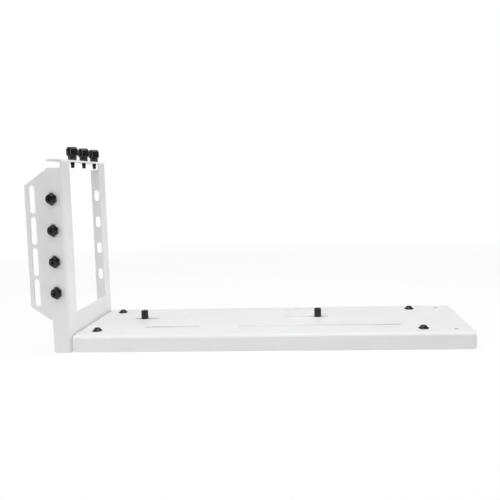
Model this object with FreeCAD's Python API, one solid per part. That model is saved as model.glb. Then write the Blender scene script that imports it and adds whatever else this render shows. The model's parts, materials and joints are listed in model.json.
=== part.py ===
"""Vertical graphics-card bracket: an upright slot frame, a case adaptor and a low base, with their hardware.

Sizes are in millimetres. While the pieces are made, x = 0 is the face of the frame that looks at the card,
y = 0 is the front of the bracket and z = 0 is the floor. At the end everything is moved so that the origin
lies at the middle of the whole bracket, on the floor.
"""
import FreeCAD, Part
import math
import os

# Folded sheet
SHEET = 1.2
BEND_INNER = 1.2
CORNER_R = 1.5
SEAT_GAP = 0.02
REACH_PAST = 1.0
SAME_POINT = 1e-6

# Upright frame
FRAME_WIDTH = 80.4
FRAME_HEIGHT = 126.0
FLANGE_DEPTH = 11.2
TOP_DEPTH = 10.4
FLANGE_NOTCH = 4.4
WINDOW_INSET = 12.7
WINDOW_SILL = 24.0
WINDOW_CORNER_R = 1.0
FOOT_TAB_LENGTH = 20.0
FOOT_TAB_INSET = 6.0
FOLD_RELIEF = 1.2

# Expansion slots of the case and the card
SLOT_PITCH = 20.32
SLOT_ROWS = 4
SLOT_ROW_Z = 70.0
CARD_SLOTS = 3
CARD_REAR_INSET = 7.43
TONGUE_WIDTH = 11.5
TONGUE_OFFSET = 6.0

# Slots of the side flanges and the case adaptor
FLANGE_SLOT_X = 7.5
FLANGE_SLOT_LENGTH = 8.5
FLANGE_SLOT_PLAY = 0.25
ADAPTOR_REACH = 25.9
ADAPTOR_MARGIN = 18.02
ADAPTOR_CHAMFER_X = 13.1
ADAPTOR_CHAMFER_Z = 9.0
ADAPTOR_CORNER_R = 1.0
ADAPTOR_BEND_GAP = 0.4
CASE_SLOT_X = 21.3
CASE_SLOT_LENGTH = 18.0
CASE_SLOT_WIDTH = 3.9

# Base
BASE_LENGTH = 256.5
BASE_HEIGHT = 10.5
BASE_LIFT = 0.3
BASE_FOLD_GAP = 0.1
BASE_CORNER_R = 2.2
LEFT_SCREW_X = 12.6
LEFT_SCREW_FRONT_INSET = 14.3
LEFT_SCREW_REAR_INSET = 11.2
RIGHT_SCREW_FROM_END = 30.0
RIGHT_SCREW_INSET = 11.8
END_HOLE_D = 3.4
END_HOLE_FROM_END = 10.2
END_HOLE_INSET = 9.3
BASE_SLOT_WIDTH = 3.4
FRONT_SLOT_Y = 22.6
FRONT_SLOT_A_X = (42.0, 81.0)
FRONT_SLOT_B_START = 106.0
FRONT_SLOT_B_FROM_END = 42.0

# Standoffs for the riser socket
STANDOFF_D = 5.0
STANDOFF_HEIGHT = 5.9
STANDOFF_OFFSET = 4.45
STANDOFF_LEFT_X = 35.6
STANDOFF_SPACING = 125.2
LEFT_SLOT_X = (28.6, 46.3)
RIGHT_SLOT_X = (137.0, 168.7)
STANDOFF_TAP_D = 2.5
STANDOFF_TAP_DEPTH = 2.9
STANDOFF_SCREW_LENGTH = 4.0
STANDOFF_EDGE = 0.3
WASHER_D = 7.0
WASHER_THICK = 0.5

# Small screws of the base and the standoffs
BASE_SCREW_D = 3.0
BASE_SCREW_LENGTH = 6.0
BASE_SCREW_HOLE_D = 3.4
PAN_RIM_D = 6.7
PAN_RIM_THICK = 0.4
PAN_CROWN_D = 5.6
PAN_TOP_D = 3.4
PAN_HEIGHT = 2.1
THREAD_TIP = 0.4

# Hexagon screws of the case adaptor
HEX_SCREW_D = 3.5
HEX_SCREW_LENGTH = 6.0
HEX_ACROSS_FLATS = 6.6
HEX_BODY_HEIGHT = 1.9
HEX_CHAMFER_ANGLE = 30.0
HEX_HEIGHT = 3.6
HEX_FACE_D = 5.6
HEX_FACE_EDGE = 0.4

# Cross recess of the screw heads
CROSS_D = 3.4
CROSS_WIDTH = 0.9
CROSS_DEPTH = 1.5
CROSS_FLOOR_D = 1.2

# Thumbscrews
THUMB_X = 5.8
THUMB_HEAD_D = 7.8
THUMB_HEAD_HEIGHT = 6.2
THUMB_LOW_EDGE = 0.7
THUMB_TOP_EDGE = 1.0
THUMB_TOP_TAPER = 1.6
THUMB_CORE_DEPTH = 0.34
THUMB_COLLAR_D = 5.8
THUMB_COLLAR_HEIGHT = 3.1
THUMB_THREAD_D = 3.0
THUMB_THREAD_LENGTH = 5.1
THUMB_POINT_D = 2.4
THUMB_POINT_LENGTH = 1.6
KNURL_RIBS = 28
KNURL_DEPTH = 0.28

# Clinch nuts under the foot tab
NUT_D = 6.3
NUT_HEIGHT = 1.5
NUT_SPIGOT_D = 4.2
NUT_SPIGOT_HEIGHT = 1.0

# Rubber feet
FOOT_D = 12.0
FOOT_TAPER = 0.6
FOOT_EDGE = 0.8
INSERT_D = 5.0
INSERT_LENGTH = 6.0

# Places worked out from the sizes above
BEND_OUTER = BEND_INNER + SHEET
TOP_UNDERSIDE = FRAME_HEIGHT - SHEET
FLANGE_TOP = TOP_UNDERSIDE - FLANGE_NOTCH
BASE_TOP = BASE_LIFT + BASE_HEIGHT
BASE_UNDERSIDE = BASE_TOP - SHEET
BASE_START = BEND_INNER + BASE_FOLD_GAP
BASE_END = BASE_START + BASE_LENGTH
FLANGE_SLOT_WIDTH = HEX_SCREW_D + 2 * FLANGE_SLOT_PLAY
ADAPTOR_HEIGHT = SLOT_PITCH * (SLOT_ROWS - 1) + 2 * ADAPTOR_MARGIN
ADAPTOR_INNER_EDGE = BEND_OUTER + ADAPTOR_BEND_GAP
FOOT_HEIGHT = BASE_UNDERSIDE
LEFT_SCREW_Y = (LEFT_SCREW_FRONT_INSET, FRAME_WIDTH - LEFT_SCREW_REAR_INSET)
RIGHT_SCREW_X = BASE_END - RIGHT_SCREW_FROM_END
RIGHT_SCREW_Y = (RIGHT_SCREW_INSET, FRAME_WIDTH - RIGHT_SCREW_INSET)
END_HOLE_X = BASE_END - END_HOLE_FROM_END
END_HOLE_Y = (END_HOLE_INSET, FRAME_WIDTH - END_HOLE_INSET)
FRONT_SLOT_B_X = (FRONT_SLOT_B_START, BASE_END - FRONT_SLOT_B_FROM_END)
STANDOFF_RIGHT_X = STANDOFF_LEFT_X + STANDOFF_SPACING


def pitched_row(last, count):
    """Places of a row of slots at the standard pitch, up to its last place."""
    return [last - SLOT_PITCH * step for step in reversed(range(count))]


ROW_HEIGHTS = pitched_row(SLOT_ROW_Z + SLOT_PITCH * (SLOT_ROWS - 1) / 2, SLOT_ROWS)
CARD_PLACES = pitched_row(FRAME_WIDTH - CARD_REAR_INSET, CARD_SLOTS)
STANDOFF_Y, REAR_SLOT_Y = [place - STANDOFF_OFFSET for place in CARD_PLACES[-2:]]
ORIGIN = FreeCAD.Vector(
    (BASE_END - ADAPTOR_REACH) / 2,
    (FRAME_WIDTH - HEX_HEIGHT) / 2,
    0,
)


# Shapes that several pieces use
def in_plane(plane, u, v, depth):
    """The point (u, v) of a drawing plane, at a depth along the plane's normal axis."""
    places = {"XY": (u, v, depth), "XZ": (u, depth, v), "YZ": (depth, u, v)}
    return FreeCAD.Vector(*places[plane])


def rounded_outline(corners):
    """Edges of a closed outline in the XY plane, each corner (u, v, radius) rounded by its radius."""
    edges = []
    joints = []
    for index, (u, v, radius) in enumerate(corners):
        corner = FreeCAD.Vector(u, v, 0)
        before = FreeCAD.Vector(*corners[index - 1][:2], 0)
        after = FreeCAD.Vector(*corners[(index + 1) % len(corners)][:2], 0)
        to_before = (before - corner).normalize()
        to_after = (after - corner).normalize()
        if radius == 0:
            joints.append((corner, corner))
            continue
        half = to_before.getAngle(to_after) / 2
        inwards = (to_before + to_after).normalize()
        setback = radius / math.tan(half)
        start = corner + to_before * setback
        end = corner + to_after * setback
        middle = corner + inwards * (radius / math.sin(half) - radius)
        edges.append(Part.Arc(start, middle, end).toShape())
        joints.append((start, end))
    for index, (start, _) in enumerate(joints):
        last_end = joints[index - 1][1]
        if last_end.distanceToPoint(start) > SAME_POINT:
            edges.append(Part.makeLine(last_end, start))
    return edges


def prism(corners, plane, start, end):
    """A rounded outline drawn in a plane and pushed along the plane's normal from start to end."""
    edges = rounded_outline(corners)
    face = Part.Face(Part.Wire(Part.__sortEdges__(edges)))
    origin = in_plane(plane, 0, 0, start)
    across = in_plane(plane, 1, 0, start) - origin
    up = in_plane(plane, 0, 1, start) - origin
    normal = across.cross(up)
    face.Placement = FreeCAD.Placement(origin, FreeCAD.Rotation(across, up, normal, "ZXY"))
    return face.extrude(in_plane(plane, 0, 0, end) - origin)


def box(x_range, y_range, z_range):
    """A block given by its two limits along each axis."""
    low = FreeCAD.Vector(x_range[0], y_range[0], z_range[0])
    size = FreeCAD.Vector(x_range[1], y_range[1], z_range[1]) - low
    return Part.makeBox(size.x, size.y, size.z, low)


def long_hole(u_range, v_range, plane, start, end):
    """A cutter for a slot with round ends: the shorter side of its box gives the ends' radius."""
    (u0, u1), (v0, v1) = u_range, v_range
    radius = min(u1 - u0, v1 - v0) / 2
    return prism([(u0, v0, radius), (u1, v0, radius), (u1, v1, radius), (u0, v1, radius)], plane, start, end)


def upright_hole(x, y, diameter, low, high):
    """A cutter for a round hole along Z."""
    return Part.makeCylinder(diameter / 2, high - low, FreeCAD.Vector(x, y, low))


def turned(profile):
    """A turned piece about Z from its half section, a list of (radius, height) corners."""
    points = [FreeCAD.Vector(radius, 0, height) for radius, height in profile]
    face = Part.Face(Part.makePolygon(points + points[:1]))
    return face.revolve(FreeCAD.Vector(), FreeCAD.Vector(0, 0, 1), 360)


def span(middle, length):
    """The two limits of a length about its middle."""
    return (middle - length / 2, middle + length / 2)


# Screws, each made with its seat at z = 0 and its head above
def threaded_shank(diameter, length, tip):
    """A plain shank at the thread's outer diameter, with a chamfered tip."""
    radius = diameter / 2
    return turned([(0, 0), (radius, 0), (radius, tip - length), (radius - tip, -length), (0, -length)])


def cross_recess(top):
    """A cutter for a cross recess that narrows downwards from a head's top."""
    bottom = top - CROSS_DEPTH
    wide = CROSS_D / 2
    narrow = CROSS_FLOOR_D / 2
    wing = [(-wide, top, 0), (-narrow, bottom, 0), (narrow, bottom, 0), (wide, top, 0)]
    return prism(wing, "XZ", *span(0, CROSS_WIDTH)).fuse(prism(wing, "YZ", *span(0, CROSS_WIDTH)))


def pan_screw(length):
    """A low crown that narrows upwards, on a thin rim."""
    rim = PAN_RIM_D / 2
    head = turned([
        (0, 0), (rim, 0), (rim, PAN_RIM_THICK), (PAN_CROWN_D / 2, PAN_RIM_THICK),
        (PAN_TOP_D / 2, PAN_HEIGHT), (0, PAN_HEIGHT),
    ])
    screw = head.fuse(threaded_shank(BASE_SCREW_D, length, THREAD_TIP))
    return screw.cut(cross_recess(PAN_HEIGHT)).removeSplitter()


def hex_screw():
    """A low hexagon with a round raised face in front of it."""
    corner = HEX_ACROSS_FLATS / math.sqrt(3)
    points = []
    for step in range(6):
        angle = math.radians(60 * step)
        points.append(FreeCAD.Vector(corner * math.sin(angle), corner * math.cos(angle), 0))
    hexagon = Part.Face(Part.makePolygon(points + points[:1])).extrude(FreeCAD.Vector(0, 0, HEX_HEIGHT))
    face = HEX_FACE_D / 2
    drop = (corner - face) * math.tan(math.radians(HEX_CHAMFER_ANGLE))
    blank = turned([
        (0, 0), (corner, 0), (corner, HEX_BODY_HEIGHT - drop), (face, HEX_BODY_HEIGHT),
        (face, HEX_HEIGHT - HEX_FACE_EDGE), (face - HEX_FACE_EDGE, HEX_HEIGHT), (0, HEX_HEIGHT),
    ])
    screw = hexagon.common(blank).fuse(threaded_shank(HEX_SCREW_D, HEX_SCREW_LENGTH, THREAD_TIP))
    return screw.cut(cross_recess(HEX_HEIGHT)).removeSplitter()


def thumbscrew():
    """A knurled head on a collar, for turning by hand, with a narrow pilot at the end of its thread."""
    head_top = THUMB_COLLAR_HEIGHT + THUMB_HEAD_HEIGHT
    band_low = THUMB_COLLAR_HEIGHT + THUMB_LOW_EDGE
    band_top = head_top - THUMB_TOP_TAPER
    outer = THUMB_HEAD_D / 2
    points = []
    for step in range(2 * KNURL_RIBS):
        angle = math.pi * step / KNURL_RIBS
        radius = outer - KNURL_DEPTH * (step % 2)
        points.append(FreeCAD.Vector(radius * math.cos(angle), radius * math.sin(angle), band_low))
    ribs = Part.Face(Part.makePolygon(points + points[:1]))
    knurl = ribs.extrude(FreeCAD.Vector(0, 0, band_top - band_low))
    below_ribs = outer - THUMB_CORE_DEPTH
    core = turned([
        (0, 0),
        (THUMB_COLLAR_D / 2, 0),
        (THUMB_COLLAR_D / 2, THUMB_COLLAR_HEIGHT),
        (outer - THUMB_LOW_EDGE, THUMB_COLLAR_HEIGHT),
        (below_ribs, band_low),
        (below_ribs, band_top),
        (outer - THUMB_TOP_EDGE, head_top),
        (0, head_top),
    ])
    thread = threaded_shank(THUMB_THREAD_D, THUMB_THREAD_LENGTH - THUMB_POINT_LENGTH, THREAD_TIP)
    pilot = threaded_shank(THUMB_POINT_D, THUMB_THREAD_LENGTH, THREAD_TIP)
    screw = core.fuse([knurl, thread, pilot])
    return screw.cut(cross_recess(head_top)).removeSplitter()


# Folded pieces
def io_frame():
    """One folded sheet: windowed face, two slotted side flanges, top plate and the tab under the base."""
    width = FRAME_WIDTH
    depth = FLANGE_DEPTH
    bend_top = FRAME_HEIGHT - BEND_OUTER
    channel = prism([
        (-depth, 0, 0), (0, 0, BEND_OUTER), (0, width, BEND_OUTER), (-depth, width, 0),
        (-depth, width - SHEET, 0), (-SHEET, width - SHEET, BEND_INNER),
        (-SHEET, SHEET, BEND_INNER), (-depth, SHEET, 0),
    ], "XY", 0, bend_top)
    side_view = prism([
        (-depth, 0, CORNER_R), (0, 0, 0), (0, FRAME_HEIGHT, 0), (-SHEET, FRAME_HEIGHT, 0),
        (-SHEET, FLANGE_TOP, 0), (-depth, FLANGE_TOP, CORNER_R),
    ], "XZ", -REACH_PAST, width + REACH_PAST)
    top = prism([
        (0, bend_top, 0), (0, FRAME_HEIGHT, BEND_OUTER), (-TOP_DEPTH, FRAME_HEIGHT, 0),
        (-TOP_DEPTH, TOP_UNDERSIDE, 0), (-SHEET, TOP_UNDERSIDE, BEND_INNER), (-SHEET, bend_top, 0),
    ], "XZ", 0, width)
    top_view = prism([
        (-TOP_DEPTH, 0, CORNER_R), (0, 0, BEND_OUTER), (0, width, BEND_OUTER), (-TOP_DEPTH, width, CORNER_R),
    ], "XY", bend_top, FRAME_HEIGHT)
    frame = channel.common(side_view).fuse(top.common(top_view))

    tab_sides = (FOOT_TAB_INSET, width - FOOT_TAB_INSET)
    fold_top = BASE_UNDERSIDE + BEND_INNER
    tab_low = BASE_UNDERSIDE - SHEET
    tab = prism([
        (-SHEET, fold_top, 0), (-SHEET, tab_low, BEND_OUTER), (FOOT_TAB_LENGTH, tab_low, 0),
        (FOOT_TAB_LENGTH, BASE_UNDERSIDE, 0), (0, BASE_UNDERSIDE, BEND_INNER), (0, fold_top, 0),
    ], "XZ", *tab_sides)
    tab_view = prism([
        (-BEND_OUTER, tab_sides[0], 0), (FOOT_TAB_LENGTH, tab_sides[0], 2 * CORNER_R),
        (FOOT_TAB_LENGTH, tab_sides[1], 2 * CORNER_R), (-BEND_OUTER, tab_sides[1], 0),
    ], "XY", 0, FRAME_HEIGHT)
    relief = (tab_sides[0] - FOLD_RELIEF, tab_sides[1] + FOLD_RELIEF)
    below_fold = box((-BEND_OUTER, REACH_PAST), relief, (-REACH_PAST, fold_top))
    frame = frame.cut(below_fold).fuse(tab.common(tab_view))

    cutters = [prism([
        (WINDOW_INSET, WINDOW_SILL, WINDOW_CORNER_R), (width - WINDOW_INSET, WINDOW_SILL, WINDOW_CORNER_R),
        (width - WINDOW_INSET, TOP_UNDERSIDE, 0), (WINDOW_INSET, TOP_UNDERSIDE, 0),
    ], "YZ", -BEND_OUTER, REACH_PAST)]
    for height in ROW_HEIGHTS:
        cutters.append(long_hole(
            span(-FLANGE_SLOT_X, FLANGE_SLOT_WIDTH), span(height, FLANGE_SLOT_LENGTH),
            "XZ", -REACH_PAST, width + REACH_PAST,
        ))
    for place in CARD_PLACES:
        cutters.append(upright_hole(
            -THUMB_X, place, THUMB_THREAD_D + 2 * SEAT_GAP,
            TOP_UNDERSIDE - REACH_PAST, FRAME_HEIGHT + REACH_PAST,
        ))
        cutters.append(box((0, BASE_START), span(place - TONGUE_OFFSET, TONGUE_WIDTH), (0, fold_top)))
    for place in LEFT_SCREW_Y:
        cutters.append(upright_hole(LEFT_SCREW_X, place, NUT_SPIGOT_D + 2 * SEAT_GAP, 0, BASE_TOP))
    return frame.cut(cutters).removeSplitter()


def case_adaptor():
    """A flat plate behind the front flange: its wing takes the screws of the case's own slots."""
    low, high = span(SLOT_ROW_Z, ADAPTOR_HEIGHT)
    outer = -ADAPTOR_REACH
    shoulder = outer + ADAPTOR_CHAMFER_X
    inner = -ADAPTOR_INNER_EDGE
    radius = ADAPTOR_CORNER_R
    plate = prism([
        (outer, low + ADAPTOR_CHAMFER_Z, radius), (shoulder, low, radius), (inner, low, radius),
        (inner, high, radius), (shoulder, high, radius), (outer, high - ADAPTOR_CHAMFER_Z, radius),
    ], "XZ", SHEET, 2 * SHEET)
    cutters = []
    for height in ROW_HEIGHTS:
        cutters.append(long_hole(
            span(-CASE_SLOT_X, CASE_SLOT_WIDTH), span(height, CASE_SLOT_LENGTH), "XZ", 0, 3 * SHEET,
        ))
        cutters.append(Part.makeCylinder(
            HEX_SCREW_D / 2 + SEAT_GAP, 3 * SHEET, FreeCAD.Vector(-FLANGE_SLOT_X, 0, height),
            FreeCAD.Vector(0, 1, 0),
        ))
    return plate.cut(cutters).removeSplitter()


def base_tray():
    """A low channel folded down at the front and the rear, with the riser's slots in its top."""
    width = FRAME_WIDTH
    channel = prism([
        (0, BASE_LIFT, 0), (0, BASE_TOP, BEND_OUTER), (width, BASE_TOP, BEND_OUTER), (width, BASE_LIFT, 0),
        (width - SHEET, BASE_LIFT, 0), (width - SHEET, BASE_UNDERSIDE, BEND_INNER),
        (SHEET, BASE_UNDERSIDE, BEND_INNER), (SHEET, BASE_LIFT, 0),
    ], "YZ", BASE_START, BASE_END)
    side_view = prism([
        (BASE_START, BASE_LIFT, BASE_CORNER_R), (BASE_END, BASE_LIFT, BASE_CORNER_R),
        (BASE_END, BASE_TOP, 0), (BASE_START, BASE_TOP, 0),
    ], "XZ", -REACH_PAST, width + REACH_PAST)
    below, above = BASE_UNDERSIDE - REACH_PAST, BASE_TOP + REACH_PAST
    cutters = []
    for x, places, diameter in (
        (LEFT_SCREW_X, LEFT_SCREW_Y, BASE_SCREW_HOLE_D),
        (RIGHT_SCREW_X, RIGHT_SCREW_Y, BASE_SCREW_HOLE_D),
        (END_HOLE_X, END_HOLE_Y, END_HOLE_D),
    ):
        for y in places:
            cutters.append(upright_hole(x, y, diameter, below, above))
    for x_range, y in (
        (LEFT_SLOT_X, STANDOFF_Y),
        (RIGHT_SLOT_X, STANDOFF_Y),
        (RIGHT_SLOT_X, REAR_SLOT_Y),
        (FRONT_SLOT_A_X, FRONT_SLOT_Y),
        (FRONT_SLOT_B_X, FRONT_SLOT_Y),
    ):
        cutters.append(long_hole(x_range, span(y, BASE_SLOT_WIDTH), "XY", below, above))
    return channel.common(side_view).cut(cutters).removeSplitter()


# Turned and moulded pieces, each made with its seat at z = 0
def standoff():
    """A round pillar, tapped from both ends."""
    radius = STANDOFF_D / 2
    top = STANDOFF_HEIGHT
    body = turned([
        (0, 0), (radius, 0), (radius, top - STANDOFF_EDGE), (radius - STANDOFF_EDGE, top), (0, top),
    ])
    own_screw = STANDOFF_SCREW_LENGTH - SHEET - WASHER_THICK
    lower = upright_hole(0, 0, BASE_SCREW_D + 2 * SEAT_GAP, 0, own_screw + SEAT_GAP)
    upper = upright_hole(0, 0, STANDOFF_TAP_D, top - STANDOFF_TAP_DEPTH, top)
    return body.cut([lower, upper])


def washer():
    """A flat ring under the base, its upper face at z = 0."""
    ring = Part.makeCylinder(WASHER_D / 2, WASHER_THICK, FreeCAD.Vector(0, 0, -WASHER_THICK))
    return ring.cut(upright_hole(0, 0, BASE_SCREW_HOLE_D, -WASHER_THICK, 0))


def clinch_nut():
    """A round nut below the tab, its spigot pressed up into the tab's hole."""
    body = turned([
        (0, -NUT_HEIGHT), (NUT_D / 2, -NUT_HEIGHT), (NUT_D / 2, 0), (NUT_SPIGOT_D / 2, 0),
        (NUT_SPIGOT_D / 2, NUT_SPIGOT_HEIGHT), (0, NUT_SPIGOT_HEIGHT),
    ])
    return body.cut(upright_hole(0, 0, BASE_SCREW_D + 2 * SEAT_GAP, -NUT_HEIGHT, NUT_SPIGOT_HEIGHT))


def rubber_foot():
    """A moulded foot that fills the height under the base, with a pocket for its threaded insert."""
    top = FOOT_D / 2
    low = top - FOOT_TAPER
    body = turned([
        (0, -FOOT_HEIGHT), (low - FOOT_EDGE, -FOOT_HEIGHT), (low, FOOT_EDGE - FOOT_HEIGHT), (top, 0), (0, 0),
    ])
    return body.cut(upright_hole(0, 0, INSERT_D + 2 * SEAT_GAP, -INSERT_LENGTH, 0))


def foot_insert():
    """A threaded bush moulded into a foot."""
    bush = Part.makeCylinder(INSERT_D / 2, INSERT_LENGTH, FreeCAD.Vector(0, 0, -INSERT_LENGTH))
    return bush.cut(upright_hole(0, 0, BASE_SCREW_D + 2 * SEAT_GAP, -INSERT_LENGTH, 0))


# Assembly
def placed(shape, x, y, z, axis=(0, 0, 1)):
    """A copy of a piece with its seat at a place and its head pointing along an axis."""
    copy = shape.copy()
    turn = FreeCAD.Rotation(FreeCAD.Vector(0, 0, 1), FreeCAD.Vector(*axis))
    copy.Placement = FreeCAD.Placement(FreeCAD.Vector(x, y, z), turn)
    return copy


def all_pieces():
    """Every piece by its node name."""
    pieces = {"io_frame": io_frame(), "case_adaptor": case_adaptor(), "base_tray": base_tray()}
    hexagon = hex_screw()
    for number, height in enumerate(ROW_HEIGHTS, start=1):
        pieces[f"adaptor_screw_{number}"] = placed(hexagon, -FLANGE_SLOT_X, 0, height, (0, -1, 0))
    knurled = thumbscrew()
    for name, y in zip(("front", "middle", "rear"), CARD_PLACES):
        pieces[f"thumbscrew_{name}"] = placed(knurled, -THUMB_X, y, FRAME_HEIGHT)
    base_screw = pan_screw(BASE_SCREW_LENGTH)
    for name, left_y, right_y in zip(("front", "rear"), LEFT_SCREW_Y, RIGHT_SCREW_Y):
        pieces[f"base_screw_{name}_left"] = placed(base_screw, LEFT_SCREW_X, left_y, BASE_TOP)
        pieces[f"base_screw_{name}_right"] = placed(base_screw, RIGHT_SCREW_X, right_y, BASE_TOP)
        pieces[f"clinch_nut_{name}"] = placed(clinch_nut(), LEFT_SCREW_X, left_y, BASE_UNDERSIDE - SHEET)
        pieces[f"foot_{name}"] = placed(rubber_foot(), RIGHT_SCREW_X, right_y, BASE_UNDERSIDE)
        pieces[f"foot_insert_{name}"] = placed(foot_insert(), RIGHT_SCREW_X, right_y, BASE_UNDERSIDE)
    short_screw = pan_screw(STANDOFF_SCREW_LENGTH)
    for name, x in (("left", STANDOFF_LEFT_X), ("right", STANDOFF_RIGHT_X)):
        pieces[f"standoff_{name}"] = placed(standoff(), x, STANDOFF_Y, BASE_TOP)
        pieces[f"standoff_washer_{name}"] = placed(washer(), x, STANDOFF_Y, BASE_UNDERSIDE)
        below_washer = BASE_UNDERSIDE - WASHER_THICK
        pieces[f"standoff_screw_{name}"] = placed(short_screw, x, STANDOFF_Y, below_washer, (0, 0, -1))
    return pieces


def main():
    os.makedirs("parts", exist_ok=True)
    for name, shape in all_pieces().items():
        shape.translate(-ORIGIN)
        solid = shape.Solids[0]
        print(f"{name}: {len(shape.Solids)} solid, {len(solid.Faces)} faces, {solid.Volume:.1f} mm3")
        solid.exportStep(f"parts/{name}.step")


main()
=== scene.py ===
# %% [markdown]
# # A vertical graphics card bracket
# The bracket is three folded or cut sheets of white powder-coated steel, held together by small black
# screws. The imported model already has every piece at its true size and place, so this lesson only adds what
# the eye looks for: softened sheet edges, real screw heads and threads, and finishes with the grain of the
# real ones.

# %% Load the bracket
import json
import math

import bmesh
import bpy
from mathutils import Matrix, Vector


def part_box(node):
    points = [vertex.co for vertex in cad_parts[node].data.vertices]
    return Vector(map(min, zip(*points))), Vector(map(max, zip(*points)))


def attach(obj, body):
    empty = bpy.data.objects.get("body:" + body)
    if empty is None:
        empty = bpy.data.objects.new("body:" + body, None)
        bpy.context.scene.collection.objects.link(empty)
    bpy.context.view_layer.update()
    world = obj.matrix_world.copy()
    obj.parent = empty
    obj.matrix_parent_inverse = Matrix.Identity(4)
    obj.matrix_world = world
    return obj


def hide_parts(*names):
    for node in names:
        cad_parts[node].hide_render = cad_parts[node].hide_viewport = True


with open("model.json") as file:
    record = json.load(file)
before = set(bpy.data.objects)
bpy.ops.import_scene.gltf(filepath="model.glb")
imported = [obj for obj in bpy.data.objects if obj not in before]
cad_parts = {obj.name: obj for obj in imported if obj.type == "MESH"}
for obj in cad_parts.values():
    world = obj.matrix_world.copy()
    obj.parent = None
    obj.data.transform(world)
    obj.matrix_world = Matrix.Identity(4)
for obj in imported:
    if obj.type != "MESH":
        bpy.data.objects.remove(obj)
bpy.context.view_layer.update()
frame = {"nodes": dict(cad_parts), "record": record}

MM = 0.001

# %% [markdown]
# ## The camera
# The picture was taken from a little above the base and well in front of it, with the camera turned a few
# degrees to the left and slightly rolled. A camera can be aimed with a constraint, but then the roll is hard
# to set, so the three directions of its own axes are worked out here from yaw, pitch and roll. The lens is
# slightly shifted, because the picture is a crop of a larger one.

# %% Camera
EYE = Vector((0.04235, -0.40246, 0.10752))
YAW = math.radians(-4.601)
PITCH = math.radians(3.942)
ROLL = math.radians(-1.793)
LENS_MM = 42.22
SENSOR_MM = 36.0
SHIFT = (-0.0295, -0.0565)
NEAR_CLIP = 0.01

look = Vector((math.sin(YAW) * math.cos(PITCH), math.cos(YAW) * math.cos(PITCH), -math.sin(PITCH)))
level = Vector((math.cos(YAW), -math.sin(YAW), 0))
below = look.cross(level)
across = level * math.cos(ROLL) - below * math.sin(ROLL)
upwards = -level * math.sin(ROLL) - below * math.cos(ROLL)

lens = bpy.data.cameras.new("camera")
lens.lens = LENS_MM
lens.sensor_width = SENSOR_MM
lens.shift_x, lens.shift_y = SHIFT
lens.clip_start = NEAR_CLIP
camera = bpy.data.objects.new("camera", lens)
axes = Matrix((across, upwards, -look)).transposed().to_4x4()
camera.matrix_world = Matrix.Translation(EYE) @ axes
bpy.context.scene.collection.objects.link(camera)
bpy.context.scene.camera = camera
bpy.context.scene.view_settings.view_transform = "Standard"
print("camera at", [round(x, 3) for x in camera.location])

# %% [markdown]
# ## Node helpers
# Every light and finish below is a small node tree. A few helpers keep the trees readable: they add a node
# with its settings, join two sockets, stretch a value to other limits, mix two shaders, and tell the rays
# that see a surface directly from the light that it scatters.


# %% Node helpers
def add_node(tree, kind, **settings):
    node = tree.nodes.new(kind)
    for name, value in settings.items():
        setattr(node, name, value)
    return node


def join(tree, source, output, target, socket):
    tree.links.new(source.outputs[output], target.inputs[socket])


def ramp(tree, source, output, span, limits=(0, 1), **settings):
    """A value that goes from one limit to the other while its source goes over a span."""
    node = add_node(tree, "ShaderNodeMapRange", **settings)
    for socket, value in zip(("From Min", "From Max", "To Min", "To Max"), (*span, *limits)):
        node.inputs[socket].default_value = value
    join(tree, source, output, node, "Value")
    return node


def crossfade(tree, share, first, second):
    """A mix of two shaders: the first where the share is 0, the second where it is 1."""
    mixed = add_node(tree, "ShaderNodeMixShader")
    for socket, source in enumerate((share, first, second)):
        join(tree, source, 0, mixed, socket)
    return mixed


def seen_directly(tree):
    """A node that is 1 for rays from the camera, from a gloss or through glass, and 0 for scattered light."""
    path = add_node(tree, "ShaderNodeLightPath")
    either = add_node(tree, "ShaderNodeMath", operation="MAXIMUM")
    join(tree, path, "Is Camera Ray", either, 0)
    join(tree, path, "Is Glossy Ray", either, 1)
    seen = add_node(tree, "ShaderNodeMath", operation="MAXIMUM")
    join(tree, either, "Value", seen, 0)
    join(tree, path, "Is Transmission Ray", seen, 1)
    return seen


# %% [markdown]
# ## Studio
# A white product picture could be lit by one bright dome, but then every side of a white object has the same
# grey. Here a weak dome fills the shadows, one large softbox hangs above, a small one stands in front and a
# narrow one at the left. At the right a low strip with a grid, which narrows its beam, lifts the foot of the
# frame's face. The background is white only for rays that see it directly, so it puts no more light on the
# bracket. In a gloss it is paler behind the bracket than on the camera's side, where a studio is dark, so
# black screws keep their contrast.

# %% World
DOME = 0.40
GLOSS_LEVELS = (0.03, 0.5)
ROOM_SPAN = (-0.5, 0.2)
WHITE = (1, 1, 1, 1)

world = bpy.data.worlds.new("studio")
bpy.context.scene.world = world
world.use_nodes = True
studio_tree = world.node_tree
studio_tree.nodes.clear()
dome = add_node(studio_tree, "ShaderNodeBackground")
dome.inputs["Strength"].default_value = DOME
backdrop = add_node(studio_tree, "ShaderNodeBackground")
for background in (dome, backdrop):
    background.inputs["Color"].default_value = WHITE

# In a world, Generated is the direction of the ray, so Y runs from the camera's side to the back.
direction = add_node(studio_tree, "ShaderNodeSeparateXYZ")
join(studio_tree, add_node(studio_tree, "ShaderNodeTexCoord"), "Generated", direction, "Vector")
room = ramp(studio_tree, direction, "Y", ROOM_SPAN, GLOSS_LEVELS)
strength = add_node(studio_tree, "ShaderNodeMath", operation="MAXIMUM")
join(studio_tree, room, "Result", strength, 0)
join(studio_tree, add_node(studio_tree, "ShaderNodeLightPath"), "Is Camera Ray", strength, 1)
join(studio_tree, strength, "Value", backdrop, "Strength")

studio = crossfade(studio_tree, seen_directly(studio_tree), dome, backdrop)
join(studio_tree, studio, "Shader", add_node(studio_tree, "ShaderNodeOutputWorld"), "Surface")
print("dome of strength", DOME)

# %% Softboxes
OPEN_BEAM, GRID_BEAM = 180, 25


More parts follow.
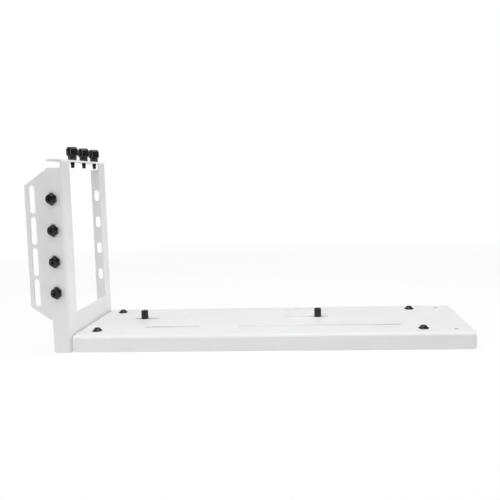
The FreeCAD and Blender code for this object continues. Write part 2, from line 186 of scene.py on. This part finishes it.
def softbox(name, place, target, size, power, beam=OPEN_BEAM):
    """A rectangular lamp. A grid in front narrows its beam, in degrees, and also hides it from glosses."""
    lamp = bpy.data.lights.new(name, "AREA")
    lamp.shape = "RECTANGLE"
    lamp.size, lamp.size_y = size
    lamp.energy = power
    lamp.spread = math.radians(beam)
    holder = bpy.data.objects.new(name, lamp)
    aim = (Vector(target) - Vector(place)).to_track_quat("-Z", "Y")
    holder.matrix_world = Matrix.LocRotScale(Vector(place), aim, None)
    holder.visible_camera = False
    holder.visible_glossy = beam == OPEN_BEAM
    bpy.context.scene.collection.objects.link(holder)
    print(name, "of", power, "W")


softbox("top_softbox", place=(0.05, -0.05, 0.70), target=(0.02, 0, 0), size=(0.8, 0.6), power=3.9)
softbox("front_softbox", place=(0.02, -0.65, 0.34), target=(0, 0, 0.05), size=(0.2, 0.2), power=0.12)
softbox("left_card", place=(-0.60, -0.35, 0.30), target=(-0.1, 0, 0.05), size=(0.25, 0.4), power=1.05)
softbox(
    "right_strip", place=(0.60, -0.08, 0.05), target=(-0.115, 0.02, 0.02), size=(0.4, 0.12), power=0.05,
    beam=GRID_BEAM,
)

# %% [markdown]
# ## Floor
# The bracket stands on a pale table that is lit a little from below, as small white goods often are: the
# light comes up through the slots, lifts the lower edges and fades outwards. It is strongest in an oval
# under the base. To the camera the table is nearly as white as the backdrop, with just enough of its own
# shading left for the bracket's soft shadow, and further off it fades into the backdrop.

# %% Floor
FLOOR_SIZE = 8.0

bm = bmesh.new()
bmesh.ops.create_grid(bm, x_segments=1, y_segments=1, size=FLOOR_SIZE / 2)
floor_mesh = bpy.data.meshes.new("floor")
bm.to_mesh(floor_mesh)
bm.free()
floor = bpy.data.objects.new("floor", floor_mesh)
bpy.context.scene.collection.objects.link(floor)
print("floor of", FLOOR_SIZE, "m")


# %% Floor shaders
def glowing_matt(tree, grey, glow):
    """A matt grey that also gives off its own light."""
    matt = add_node(tree, "ShaderNodeBsdfDiffuse")
    matt.inputs["Color"].default_value = (grey, grey, grey, 1)
    own_light = add_node(tree, "ShaderNodeEmission")
    own_light.inputs["Strength"].default_value = glow
    both = add_node(tree, "ShaderNodeAddShader")
    join(tree, matt, "BSDF", both, 0)
    join(tree, own_light, "Emission", both, 1)
    return both


def fading(tree, distance, span, near, far):
    """A shader that goes over from a near one to a far one while the distance goes over a span."""
    share = ramp(tree, distance, "Value", span, interpolation_type="SMOOTHSTEP")
    return crossfade(tree, share, near, far)


def length_of(tree, source, output):
    """The length of a vector."""
    node = add_node(tree, "ShaderNodeVectorMath", operation="LENGTH")
    join(tree, source, output, node, 0)
    return node


# %% Floor finish
SEEN_GREY, SEEN_GLOW = 0.20, 0.785
SEEN_SPAN = (0.25, 0.75)
LIT_GREY, LIT_GLOW = 0.50, 0.37
LIT_SPAN = (0.12, 0.40)
OVAL_MIDDLE, OVAL_SIZE = (0.02, 0, 0), (0.105, 0.037, 1)
OVAL_GLOW = 0.9
OVAL_SPAN = (0.8, 1.0)

table_top = bpy.data.materials.new("table_top")
table_top.use_nodes = True
table_tree = table_top.node_tree
table_tree.nodes.clear()
on_table = add_node(table_tree, "ShaderNodeTexCoord")
distance = length_of(table_tree, on_table, "Object")
seen_near = glowing_matt(table_tree, SEEN_GREY, SEEN_GLOW)
floor_seen = fading(table_tree, distance, SEEN_SPAN, seen_near, glowing_matt(table_tree, 0, 1))
lit_near = glowing_matt(table_tree, LIT_GREY, LIT_GLOW)
lit_around = fading(table_tree, distance, LIT_SPAN, lit_near, glowing_matt(table_tree, LIT_GREY, 0))

# In the oval's own coordinates its rim is 1 from its middle all round.
in_oval = add_node(table_tree, "ShaderNodeMapping", vector_type="TEXTURE")
in_oval.inputs["Location"].default_value = OVAL_MIDDLE
in_oval.inputs["Scale"].default_value = OVAL_SIZE
join(table_tree, on_table, "Object", in_oval, "Vector")
lit_oval = glowing_matt(table_tree, LIT_GREY, OVAL_GLOW)
floor_lit = fading(table_tree, length_of(table_tree, in_oval, "Vector"), OVAL_SPAN, lit_oval, lit_around)
surface = crossfade(table_tree, seen_directly(table_tree), floor_lit, floor_seen)
join(table_tree, surface, "Shader", add_node(table_tree, "ShaderNodeOutputMaterial"), "Surface")
floor_mesh.materials.append(table_top)
print("floor lit from below out to", LIT_SPAN[1], "m")

# %% [markdown]
# ## Finishes
# No finish is one flat colour. Each starts from a Principled shader whose colour, roughness and bump come
# from noise on Object coordinates. All pieces sit at the origin, so the grain stays where it is when a piece
# moves, and one scale in grains per metre fits all pieces. Each finish is kept under the name of its slot.

# %% Finish helper
NOISE_SPAN = (0.3, 0.7)
TONE_DETAIL, FINE_DETAIL = 3.0, 2.0

finishes = {}


def grain(tree, coordinates, scale, detail=FINE_DETAIL):
    noise = add_node(tree, "ShaderNodeTexNoise")
    noise.inputs["Scale"].default_value = scale
    noise.inputs["Detail"].default_value = detail
    join(tree, coordinates, "Object", noise, "Vector")
    return noise


def finish(name, dark, pale, tone_scale, roughness, rough_scale, bump_scale, bump_depth, metallic=0.0):
    """A surface whose tone runs between two colours, with its own roughness range and bump."""
    material = bpy.data.materials.new(name)
    material.use_nodes = True
    tree = material.node_tree
    shader = tree.nodes["Principled BSDF"]
    coordinates = add_node(tree, "ShaderNodeTexCoord")

    tone = add_node(tree, "ShaderNodeMix", data_type="RGBA")
    tone.inputs["A"].default_value = (*dark, 1)
    tone.inputs["B"].default_value = (*pale, 1)
    clouds = grain(tree, coordinates, tone_scale, TONE_DETAIL)
    join(tree, ramp(tree, clouds, "Fac", NOISE_SPAN), "Result", tone, "Factor")
    join(tree, tone, "Result", shader, "Base Color")

    gloss = ramp(tree, grain(tree, coordinates, rough_scale), "Fac", NOISE_SPAN, roughness)
    join(tree, gloss, "Result", shader, "Roughness")

    bump = add_node(tree, "ShaderNodeBump")
    bump.inputs["Distance"].default_value = bump_depth
    join(tree, grain(tree, coordinates, bump_scale), "Fac", bump, "Height")
    join(tree, bump, "Normal", shader, "Normal")

    shader.inputs["Metallic"].default_value = metallic
    material.diffuse_color = (*pale, 1)
    finishes[name] = material
    print("finish", name)


# %% [markdown]
# ### White powder coat
# Powder is sprayed on dry and melted in an oven. It flows out to a half-matt film with a very fine orange
# peel of about a millimetre, and its tone hardly varies. A flat colour with a bump would do from afar, but
# close up the faint changes of tone and gloss are what tell paint from plastic.

# %% Powder coat
finish(
    "white_powder_coat", dark=(0.815, 0.815, 0.815), pale=(0.845, 0.845, 0.845), tone_scale=60,
    roughness=(0.42, 0.50), rough_scale=90, bump_scale=900, bump_depth=0.00002,
)

# %% [markdown]
# ### Black zinc, zinc, brass and rubber
# The screws are zinc plated and dyed black: nearly black with a faint sheen and small cloudy differences.
# The nuts under the base are bright zinc, the bushes in the feet are brass, and the feet are matt rubber.
# All four come from the same helper, because only their colours, scales and limits differ.

# %% Small finishes
finish(
    "black_zinc", dark=(0.002, 0.002, 0.0022), pale=(0.006, 0.006, 0.0065), tone_scale=700,
    roughness=(0.12, 0.22), rough_scale=900, bump_scale=2500, bump_depth=0.000012,
)
finish(
    "zinc_steel", dark=(0.52, 0.53, 0.55), pale=(0.66, 0.67, 0.69), tone_scale=500,
    roughness=(0.28, 0.45), rough_scale=700, bump_scale=2000, bump_depth=0.00001, metallic=1.0,
)
finish(
    "insert_brass", dark=(0.60, 0.45, 0.20), pale=(0.74, 0.58, 0.30), tone_scale=500,
    roughness=(0.25, 0.40), rough_scale=700, bump_scale=2000, bump_depth=0.00001, metallic=1.0,
)
finish(
    "black_rubber", dark=(0.016, 0.016, 0.016), pale=(0.032, 0.032, 0.032), tone_scale=400,
    roughness=(0.70, 0.90), rough_scale=500, bump_scale=3000, bump_depth=0.00004,
)

# %% [markdown]
# ## From a shape to a piece
# The small pieces are modelled in millimetres, with the seat at the origin and the head upwards, so that
# their sizes read as on a drawing. One helper then scales a shape and turns it, and puts the end of its head
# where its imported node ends. The other hands it over: the piece rides on the node's body, stands for the
# node and takes the node's finish.

# %% Handing a piece over
SHARP_ANGLE = math.radians(30)
UPRIGHT = Matrix.Identity(4)
UPSIDE_DOWN = Matrix.Rotation(math.pi, 4, "X")
FACING_FRONT = Matrix.Rotation(math.pi / 2, 4, "X")

slot_of = {row["node"]: row["material_slot"] for row in frame["record"]["subparts"]}
body_of = {}
for body, nodes in frame["record"]["behaviour"]["bodies"].items():
    for node in nodes:
        body_of[node] = body


def stand_in(bm, node):
    """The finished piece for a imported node, from a shape that is already at its place in metres."""
    mesh = bpy.data.meshes.new(f"{node}_detail")
    bm.to_mesh(mesh)
    bm.free()
    mesh.shade_smooth()
    mesh.set_sharp_from_angle(angle=SHARP_ANGLE)
    mesh.materials.append(finishes[slot_of[node]])
    piece = bpy.data.objects.new(f"{node}_detail", mesh)
    bpy.context.scene.collection.objects.link(piece)
    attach(piece, body_of[node])
    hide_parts(node)
    return piece


def stand_for(nodes, shape, height, turn=UPRIGHT):
    """Copies of a shape in millimetres, one for each node, with the head's end at the end of the node."""
    head = turn.col[2].to_3d()
    for node in nodes:
        low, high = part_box(node)
        half = abs(head.dot(high - low)) / 2
        seat = (low + high) / 2 + head * (half - height * MM)
        place = Matrix.Translation(seat) @ turn
        bm = shape.copy()
        bmesh.ops.transform(bm, matrix=place @ Matrix.Scale(MM, 4), verts=bm.verts)
        stand_in(bm, node)
    shape.free()
    print("made", *nodes)


print("nodes to dress:", len(slot_of))

# %% [markdown]
# ## Softened edges
# Steel is cut square, but paint and plating pull back from an edge and leave it round. A Bevel modifier
# could do this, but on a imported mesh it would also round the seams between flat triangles. So the edges are
# picked by angle first, and only those are bevelled.

# %% Softening
EDGE_SEGMENTS = 2


def soften(bm, width, past):
    """Rounds the edges where two faces meet at more than an angle in degrees, and counts them."""
    sharp = []
    for edge in bm.edges:
        if len(edge.link_faces) == 2 and edge.calc_face_angle() > math.radians(past):
            sharp.append(edge)
    bmesh.ops.bevel(
        bm, geom=sharp, offset=width, offset_type="OFFSET", segments=EDGE_SEGMENTS, profile=0.5,
        affect="EDGES", material=-1, clamp_overlap=True,
    )
    return len(sharp)


# %% [markdown]
# ## The white sheets
# The frame, the adaptor and the base are cut and folded steel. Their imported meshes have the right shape, so
# each sheet is a copy of its mesh: the loose triangles are merged, flat areas are dissolved into whole
# faces, and the edges get the small radius that the powder coat gives them. Normals weighted by area keep
# the big faces flat.

# %% Sheets
MERGE = 1e-6
FLAT_ANGLE = math.radians(0.5)
COAT_RADIUS = 0.0002
SHEET_EDGE_ANGLE = 35
NEVER_SHARP = math.pi


def softened_copy(node, width):
    """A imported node's own shape with rounded edges."""
    bm = bmesh.new()
    bm.from_mesh(frame["nodes"][node].data)
    bmesh.ops.remove_doubles(bm, verts=bm.verts, dist=MERGE)
    bmesh.ops.dissolve_limit(bm, angle_limit=FLAT_ANGLE, verts=bm.verts, edges=bm.edges)
    rounded = soften(bm, width, SHEET_EDGE_ANGLE)
    piece = stand_in(bm, node)
    piece.data.set_sharp_from_angle(angle=NEVER_SHARP)
    piece.modifiers.new("even_shading", "WEIGHTED_NORMAL")
    print(node, "with", rounded, "edges rounded")


for sheet in ("io_frame", "case_adaptor", "base_tray"):
    softened_copy(sheet, COAT_RADIUS)

# %% [markdown]
# ## Round pieces
# Standoffs and screw blanks are turned on a lathe. Spin does the same: a half section goes once round the Z
# axis. The points on the axis fall together, so doubles are merged, and then the normals are set to point
# outwards.

# %% Turning
ROUND_STEPS = 48
WELD = 0.001
TURNED_EDGE, TURNED_EDGE_ANGLE = 0.12, 40


def section_line(bm, section):
    """The points and edges of a half section, from (radius, height) points."""
    points = [bm.verts.new((radius, 0, height)) for radius, height in section]
    return points + [bm.edges.new(pair) for pair in zip(points, points[1:])]


def turned(section):
    """A half section, spun about Z."""
    bm = bmesh.new()
    bmesh.ops.spin(
        bm, geom=section_line(bm, section), axis=(0, 0, 1), cent=(0, 0, 0), steps=ROUND_STEPS,
        angle=math.tau, use_merge=True,
    )
    bmesh.ops.remove_doubles(bm, verts=bm.verts, dist=WELD)
    bmesh.ops.recalc_face_normals(bm, faces=bm.faces)
    return bm


# %% [markdown]
# ## Standoffs
# Each standoff is a short black pillar, open at the top with a thread for the riser's own screw, and held
# from below through the slot. The thread inside can be plain rings, because nobody sees that they don't
# climb.

# %% Standoffs
SIDES = ("left", "right")
STANDOFF_R = 2.5
STANDOFF_HEIGHT = 5.9
STANDOFF_EDGE = 0.3
TAP_R, TAP_ROOT_R = 1.25, 1.5
TAP_PITCH = 0.5
TAP_TURNS = 5
TAP_FLOOR = 3.0
POCKET_R, POCKET_TOP = 1.52, 2.32

pillar_section = [
    (0, POCKET_TOP), (POCKET_R, POCKET_TOP), (POCKET_R, 0), (STANDOFF_R, 0),
    (STANDOFF_R, STANDOFF_HEIGHT - STANDOFF_EDGE), (STANDOFF_R - STANDOFF_EDGE, STANDOFF_HEIGHT),
]
for turn in range(TAP_TURNS):
    pillar_section.append((TAP_ROOT_R, STANDOFF_HEIGHT - turn * TAP_PITCH))
    pillar_section.append((TAP_R, STANDOFF_HEIGHT - (turn + 0.5) * TAP_PITCH))
pillar_section += [(TAP_R, TAP_FLOOR), (0, TAP_FLOOR)]
pillar = turned(pillar_section)
soften(pillar, TURNED_EDGE, TURNED_EDGE_ANGLE)
stand_for([f"standoff_{side}" for side in SIDES], pillar, STANDOFF_HEIGHT)

# %% [markdown]
# ## Threads
# A rolled thread is a tooth that climbs as it goes round. Spin can climb too: its step along the axis is one
# pitch a turn, so each turn's upper edge meets the next one's lower edge and the two weld. The ends are then
# cut flat and closed, and the tip is narrowed so that the screw starts easily.

# %% Threads
THREAD_STEPS = 24
THREAD_DEPTH = 0.54
THREAD_CREST = (0.44, 0.56)
THREAD_IN_HEAD = 0.3
LEAD_TURNS, SPARE_TURNS = 1.5, 3
CUT_SLACK = 0.0001


def thread(diameter, pitch, length, tip):
    """A thread below z = 0, reaching a little up into its head."""
    outer = diameter / 2
    core = outer - THREAD_DEPTH * pitch
    start = -length - LEAD_TURNS * pitch
    turns = math.ceil((length + THREAD_IN_HEAD) / pitch) + SPARE_TURNS
    bm = bmesh.new()
    tooth = [(core, 0), (outer, THREAD_CREST[0]), (outer, THREAD_CREST[1]), (core, 1)]
    section = [(radius, start + part * pitch) for radius, part in tooth]
    bmesh.ops.spin(
        bm, geom=section_line(bm, section), axis=(0, 0, 1), cent=(0, 0, 0),
        dvec=(0, 0, pitch / THREAD_STEPS), steps=THREAD_STEPS * turns, angle=math.tau * turns,
    )
    bmesh.ops.remove_doubles(bm, verts=bm.verts, dist=WELD)
    for height, outwards in ((-length, -1), (THREAD_IN_HEAD, 1)):
        bmesh.ops.bisect_plane(
            bm, geom=bm.verts[:] + bm.edges[:] + bm.faces[:], dist=CUT_SLACK, plane_co=(0, 0, height),
            plane_no=(0, 0, outwards), clear_outer=True,
        )
    bmesh.ops.holes_fill(bm, edges=[edge for edge in bm.edges if edge.is_boundary])
    for vert in bm.verts:
        limit = outer - max(0, tip - length - vert.co.z)
        radius = vert.co.xy.length
        if radius > limit:
            vert.co.xy *= limit / radius
    bmesh.ops.recalc_face_normals(bm, faces=bm.faces)
    return bm


# %% [markdown]
# ## Cross recess
# A punch strikes the recess into the head. The punch is a small block whose four sides are drawn out into
# arms, and the arms narrow downwards. Cutting it out could be done by hand-made faces, but a Boolean gives
# the exact line where the arms leave a domed or a flat head. The same helper also joins a thread to its
# head.

# %% Recess
CROSS_WIDTH = 0.9
CROSS_REACH = 1.7
CROSS_FLOOR_REACH = 0.6
CROSS_DEPTH = 1.5
PUNCH_PAST = 0.6


def cross_punch(top):
    """A punch whose point lies below the top of a head."""
    bm = bmesh.new()
    bmesh.ops.create_cube(bm, size=1)
    bmesh.ops.scale(bm, vec=(CROSS_WIDTH, CROSS_WIDTH, CROSS_DEPTH + PUNCH_PAST), verts=bm.verts)
    bmesh.ops.translate(bm, vec=(0, 0, top + (PUNCH_PAST - CROSS_DEPTH) / 2), verts=bm.verts)
    bm.normal_update()
    sides = [face for face in bm.faces if abs(face.normal.z) < 0.5]
    directions = [face.normal.copy() for face in sides]
    arms = bmesh.ops.extrude_discrete_faces(bm, faces=sides)["faces"]
    floor_z = top - CROSS_DEPTH
    for arm, direction in zip(arms, directions):
        for vert in arm.verts:
            rise = (vert.co.z - floor_z) / CROSS_DEPTH
            reach = CROSS_FLOOR_REACH + (CROSS_REACH - CROSS_FLOOR_REACH) * rise
            vert.co += direction * (reach - vert.co.dot(direction))
    bmesh.ops.recalc_face_normals(bm, faces=bm.faces)
    return bm


# %% Cutting and joining
def carve(blank, tool, operation):
    """A blank with a tool's shape cut away or joined on, as one closed shape."""
    helpers = []
    for bm in (blank, tool):
        mesh = bpy.data.meshes.new("helper")
        bm.to_mesh(mesh)
        bm.free()
        helper = bpy.data.objects.new("helper", mesh)
        bpy.context.scene.collection.objects.link(helper)
        helpers.append(helper)
    step = helpers[0].modifiers.new("carve", "BOOLEAN")
    step.object = helpers[1]
    step.operation = operation
    step.solver = "EXACT"
    evaluated = helpers[0].evaluated_get(bpy.context.evaluated_depsgraph_get())
    carved = bpy.data.meshes.new_from_object(evaluated)
    bm = bmesh.new()
    bm.from_mesh(carved)
    for helper in helpers:
        bpy.data.meshes.remove(helper.data)
    bpy.data.meshes.remove(carved)
    return bm


def screw_from(head, top, shank):
    """A screw from its head blank: the recess is struck, then the thread is joined on."""
    struck = carve(head, cross_punch(top), "DIFFERENCE")
    screw = carve(struck, shank, "UNION")
    print("screw of", len(screw.faces), "faces")
    return screw


# %% [markdown]
# ## Base screws
# The base is held by low screws whose crown narrows upwards on a thin rim, like a hat. The half section is
# straight from the crown's foot to its shoulder. The shoulder is a curve that leaves the slope and meets the
# top without a kink, so a few steps are enough. Two shorter ones hold the standoffs from below, so they
# point the other way up.

# %% Base screw section
PAN_RIM_R, PAN_RIM_THICK = 3.35, 0.4
PAN_CROWN_R, PAN_HEIGHT = 2.8, 2.1
PAN_TOP_R = 1.7
SHOULDER_STEPS = 6
SHOULDER_SHARE = 0.5

crown_foot = Vector((PAN_CROWN_R, PAN_RIM_THICK))
crown_edge = Vector((PAN_TOP_R, PAN_HEIGHT))
crown_middle = Vector((0, PAN_HEIGHT))
pan_section = [(0, 0), (PAN_RIM_R, 0), (PAN_RIM_R, PAN_RIM_THICK), tuple(crown_foot)]
for step in range(SHOULDER_STEPS + 1):
    share = step / SHOULDER_STEPS
    on_slope = crown_edge.lerp(crown_foot, SHOULDER_SHARE * (1 - share))
    on_top = crown_edge.lerp(crown_middle, SHOULDER_SHARE * share)
    pan_section.append(tuple(on_slope.lerp(on_top, share)))
pan_section.append(tuple(crown_middle))
print("crown of", len(pan_section), "points")

# %% Base screws
CORNERS = ("front_left", "front_right", "rear_left", "rear_right")
SMALL_THREAD_D, SMALL_PITCH, SMALL_TIP = 3.0, 0.5, 0.4
BASE_SCREW_LENGTH = 6.0
STANDOFF_SCREW_LENGTH = 4.0


def pan_screw(length):
    head = turned(pan_section)
    soften(head, TURNED_EDGE, TURNED_EDGE_ANGLE)
    return screw_from(head, PAN_HEIGHT, thread(SMALL_THREAD_D, SMALL_PITCH, length, SMALL_TIP))


long_pan = pan_screw(BASE_SCREW_LENGTH)
stand_for([f"base_screw_{corner}" for corner in CORNERS], long_pan, PAN_HEIGHT)
short_pan = pan_screw(STANDOFF_SCREW_LENGTH)
stand_for([f"standoff_screw_{side}" for side in SIDES], short_pan, PAN_HEIGHT, UPSIDE_DOWN)

# %% [markdown]
# ## Hexagon screws
# The adaptor's screws have a low hexagon for a spanner and a round face that stands out of it, with the
# recess. The blank starts as a fine circle that is pushed out to the hexagon and then grown ring by ring.
# The first ring drops to a cone, which gives the curved line that turned hexagons have on every flat.


# %% Growing a blank
def grow(bm, rings):
    """Draws a shape's only face out, ring by ring: each ring gives a point its new radius and height."""
    bm.faces.ensure_lookup_table()
    face = bm.faces[0]
    for ring in rings:
        drawn = bmesh.ops.extrude_face_region(bm, geom=[face])["geom"]
        face = [item for item in drawn if isinstance(item, bmesh.types.BMFace)][0]
        for vert in face.verts:
            radius, height = ring(vert.co)
            vert.co.xy *= radius / vert.co.xy.length
            vert.co.z = height
    bmesh.ops.recalc_face_normals(bm, faces=bm.faces)


# %% Hexagon screws
HEX_FLAT_R = 3.3
HEX_TURN = math.radians(60)
HEX_BODY_HEIGHT = 1.9
HEX_CONE = math.tan(math.radians(30))
HEX_HEIGHT = 3.6
HEX_FACE_R, HEX_FACE_EDGE = 2.8, 0.4
HEX_STEPS = 72
HEX_EDGE, HEX_EDGE_ANGLE = 0.1, 25
HEX_THREAD_D, HEX_PITCH, HEX_TIP, HEX_LENGTH = 3.5, 0.794, 0.4, 6.0


def hex_blank():
    bm = bmesh.new()
    bmesh.ops.create_circle(bm, cap_ends=True, segments=HEX_STEPS, radius=1)
    for vert in bm.verts:
        from_corner = math.atan2(vert.co.x, vert.co.y) % HEX_TURN
        vert.co *= HEX_FLAT_R / math.cos(from_corner - HEX_TURN / 2)
    grow(bm, [
        lambda co: (co.xy.length, HEX_BODY_HEIGHT - (co.xy.length - HEX_FACE_R) * HEX_CONE),
        lambda co: (HEX_FACE_R, HEX_BODY_HEIGHT),
        lambda co: (HEX_FACE_R, HEX_HEIGHT - HEX_FACE_EDGE),
        lambda co: (HEX_FACE_R - HEX_FACE_EDGE, HEX_HEIGHT),
    ])
    soften(bm, HEX_EDGE, HEX_EDGE_ANGLE)
    return bm


hexagon = screw_from(hex_blank(), HEX_HEIGHT, thread(HEX_THREAD_D, HEX_PITCH, HEX_LENGTH, HEX_TIP))
stand_for([f"adaptor_screw_{number}" for number in (1, 2, 3, 4)], hexagon, HEX_HEIGHT, FACING_FRONT)

# %% [markdown]
# ## Thumbscrews
# Three thumbscrews hold the card's own plate to the top of the frame. The head is knurled with upright
# grooves and tapers at the top. The whole blank is grown out of one circle: collar, underside, knurl and
# top. On the knurl every second point lies lower, and both of its edges follow the tapers, as they do when a
# blank is turned before it is knurled. A narrow pilot at the end of the thread finds the hole.

# %% Thumbscrew head
THUMB_COLLAR_R, THUMB_COLLAR_HEIGHT = 2.9, 3.1
THUMB_HEAD_R, THUMB_HEAD_HEIGHT = 3.9, 6.2
THUMB_LOW_EDGE = 0.7
THUMB_TOP_EDGE, THUMB_TOP_TAPER = 1.0, 1.6
KNURL_RIBS = 28
KNURL_DEPTH = 0.28
KNURL_EDGE, KNURL_EDGE_ANGLE = 0.05, 35

thumb_top = THUMB_COLLAR_HEIGHT + THUMB_HEAD_HEIGHT
low_r = THUMB_HEAD_R - THUMB_LOW_EDGE
top_r = THUMB_HEAD_R - THUMB_TOP_EDGE


def rib_radius(co):
    """The radius of a rib or of the groove beside it, by the point's place round the head."""
    step = round(math.atan2(co.y, co.x) / math.pi * KNURL_RIBS)
    return THUMB_HEAD_R - KNURL_DEPTH * (step % 2)


def thumb_blank():
    bm = bmesh.new()
    bmesh.ops.create_circle(bm, cap_ends=True, segments=2 * KNURL_RIBS, radius=THUMB_COLLAR_R)
    slope = THUMB_TOP_TAPER / THUMB_TOP_EDGE
    grow(bm, [
        lambda co: (THUMB_COLLAR_R, THUMB_COLLAR_HEIGHT),
        lambda co: (low_r, THUMB_COLLAR_HEIGHT),
        lambda co: (rib_radius(co), THUMB_COLLAR_HEIGHT + rib_radius(co) - low_r),
        lambda co: (rib_radius(co), thumb_top - (rib_radius(co) - top_r) * slope),
        lambda co: (top_r, thumb_top),
    ])
    soften(bm, KNURL_EDGE, KNURL_EDGE_ANGLE)
    return bm


# %% Thumbscrews
THUMB_LENGTH = 5.1
PILOT_R, PILOT_LENGTH, PILOT_TIP = 1.2, 1.6, 0.3


def thumb_shank():
    pilot = turned([
        (0, 0), (PILOT_R, 0), (PILOT_R, PILOT_TIP - THUMB_LENGTH), (PILOT_R - PILOT_TIP, -THUMB_LENGTH),
        (0, -THUMB_LENGTH),
    ])
    threaded = thread(SMALL_THREAD_D, SMALL_PITCH, THUMB_LENGTH - PILOT_LENGTH, SMALL_TIP)
    return carve(threaded, pilot, "UNION")


knurled = screw_from(thumb_blank(), thumb_top, thumb_shank())
stand_for([f"thumbscrew_{row}" for row in ("front", "middle", "rear")], knurled, thumb_top)

# %% [markdown]
# ## Small parts under the base
# Feet, bushes, clinch nuts and washers have the right shape already. They only get round edges: wide ones on
# the moulded rubber, narrow ones on the metal.

# %% Small parts
ROWS = ("front", "rear")
FOOT_EDGE = 0.0003
INSERT_EDGE = 0.0001
NUT_EDGE = 0.00015
WASHER_EDGE = 0.00008

small_parts = (
    ("foot", ROWS, FOOT_EDGE),
    ("foot_insert", ROWS, INSERT_EDGE),
    ("clinch_nut", ROWS, NUT_EDGE),
    ("standoff_washer", SIDES, WASHER_EDGE),
)
for kind, places, edge in small_parts:
    for place in places:
        softened_copy(f"{kind}_{place}", edge)
